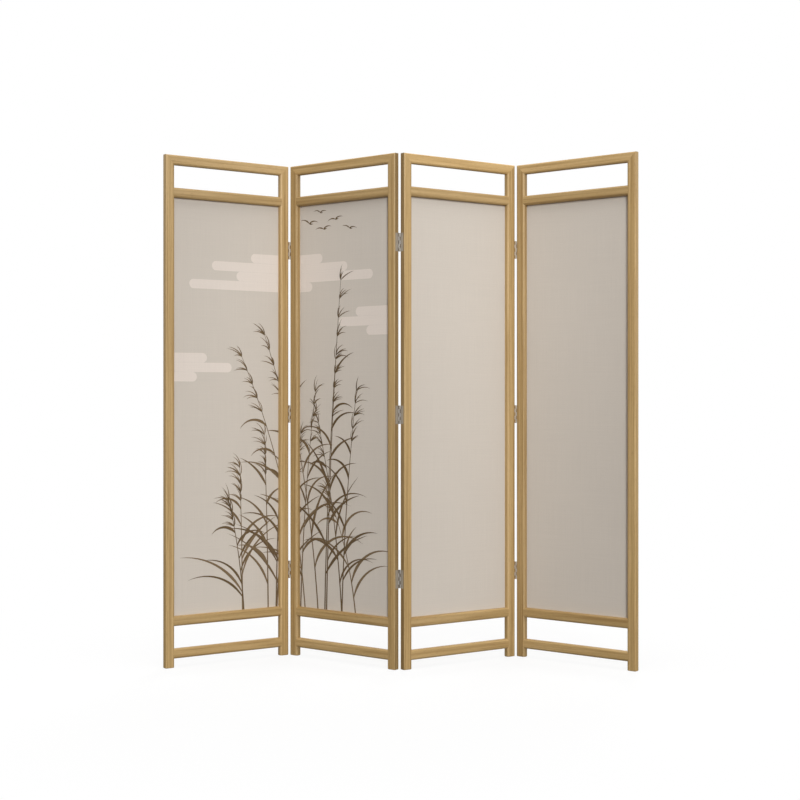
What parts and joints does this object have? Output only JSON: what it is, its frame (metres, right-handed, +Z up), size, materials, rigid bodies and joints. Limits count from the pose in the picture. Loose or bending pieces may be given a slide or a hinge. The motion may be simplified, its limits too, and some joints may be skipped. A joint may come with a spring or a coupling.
{
  "type": "folding screen",
  "caption": "Free-standing wooden folding screen: tall framed cloth panels set in a zigzag, with open slots above and below the cloth, hinged along their stiles to fold flat.",
  "frame": {"origin": "on the floor, at the middle of the screen's width and depth as it stands in the zigzag", "axes": "+X along the row of panels to the viewer's right, +Y to the back, +Z up"},
  "size_m": [1.6584, 0.3178, 1.8],
  "materials": {
    "oak": "light oak, satin clear finish",
    "board": "thin plywood, bare",
    "printed_linen": "greige linen-weave cloth with a brown ink print",
    "plain_linen": "greige linen-weave cloth, plain",
    "hinge_steel": "satin plated steel"
  },
  "bodies": {
    "panel_1": {"panel_1_left_stile": "oak", "panel_1_right_stile": "oak", "panel_1_top_rail": "oak", "panel_1_upper_rail": "oak", "panel_1_lower_rail": "oak", "panel_1_bottom_rail": "oak", "panel_1_backing_board": "board", "panel_1_front_cloth": "printed_linen", "panel_1_back_cloth": "plain_linen", "panel_1_back_slips": "oak", "fold_1_hinge_left_leaves": "hinge_steel", "fold_1_hinge_pins": "hinge_steel"},
    "panel_2": {"panel_2_left_stile": "oak", "panel_2_right_stile": "oak", "panel_2_top_rail": "oak", "panel_2_upper_rail": "oak", "panel_2_lower_rail": "oak", "panel_2_bottom_rail": "oak", "panel_2_backing_board": "board", "panel_2_front_cloth": "printed_linen", "panel_2_back_cloth": "plain_linen", "panel_2_back_slips": "oak", "fold_2_hinge_left_leaves": "hinge_steel", "fold_2_hinge_pins": "hinge_steel", "fold_1_hinge_right_leaves": "hinge_steel"},
    "panel_3": {"panel_3_left_stile": "oak", "panel_3_right_stile": "oak", "panel_3_top_rail": "oak", "panel_3_upper_rail": "oak", "panel_3_lower_rail": "oak", "panel_3_bottom_rail": "oak", "panel_3_backing_board": "board", "panel_3_front_cloth": "plain_linen", "panel_3_back_cloth": "plain_linen", "panel_3_back_slips": "oak", "fold_3_hinge_left_leaves": "hinge_steel", "fold_3_hinge_pins": "hinge_steel", "fold_2_hinge_right_leaves": "hinge_steel"},
    "panel_4": {"panel_4_left_stile": "oak", "panel_4_right_stile": "oak", "panel_4_top_rail": "oak", "panel_4_upper_rail": "oak", "panel_4_lower_rail": "oak", "panel_4_bottom_rail": "oak", "panel_4_backing_board": "board", "panel_4_front_cloth": "plain_linen", "panel_4_back_cloth": "plain_linen", "panel_4_back_slips": "oak", "fold_3_hinge_right_leaves": "hinge_steel"}
  },
  "joints": [
    {"name": "fold_1", "type": "hinge", "parent": "panel_1", "child": "panel_2", "pos_m": [-0.4166, 0.14206, 0.9], "axis": [0, 0, -1], "range_deg": [-74.5, 105.5]},
    {"name": "fold_2", "type": "hinge", "parent": "panel_2", "child": "panel_3", "pos_m": [0, -0.14206, 0.9], "axis": [0, 0, 1], "range_deg": [-74.5, 105.5]},
    {"name": "fold_3", "type": "hinge", "parent": "panel_3", "child": "panel_4", "pos_m": [0.4166, 0.14206, 0.9], "axis": [0, 0, -1], "range_deg": [-74.5, 105.5]}
  ]
}
